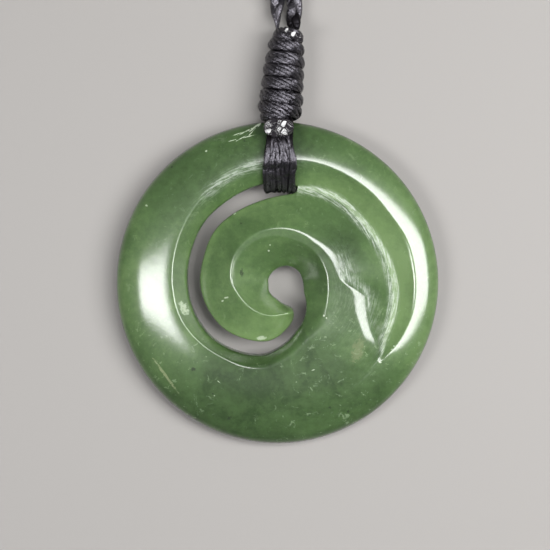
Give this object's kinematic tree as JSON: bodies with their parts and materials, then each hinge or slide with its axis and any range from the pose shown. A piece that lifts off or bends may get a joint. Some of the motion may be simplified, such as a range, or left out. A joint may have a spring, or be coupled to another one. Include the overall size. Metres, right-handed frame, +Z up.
{
  "type": "koru pendant",
  "caption": "Round green nephrite koru pendant, its spiral slot open to the eye, bound with black waxed thread to a plaited neck cord that lies in a whole loop.",
  "frame": {"origin": "on the surface that the pendant lies on, straight below the centre of the stone's disc", "axes": "+Z up, out of the stone's carved front; +Y from the stone towards the binding and the neck cord; +X to the right as the front is looked at"},
  "size_m": [0.1385, 0.3066, 0.0081],
  "materials": {
    "nephrite": "polished",
    "waxed_strands": "satin",
    "melted_wax": "gloss",
    "waxed_plait": "satin"
  },
  "bodies": {
    "root": {"koru_stone": "nephrite", "strand_loop": "waxed_strands", "sealed_knot": "melted_wax", "binding": "waxed_strands", "binding_tail": "melted_wax", "neck_plait": "waxed_plait"}
  },
  "joints": []
}
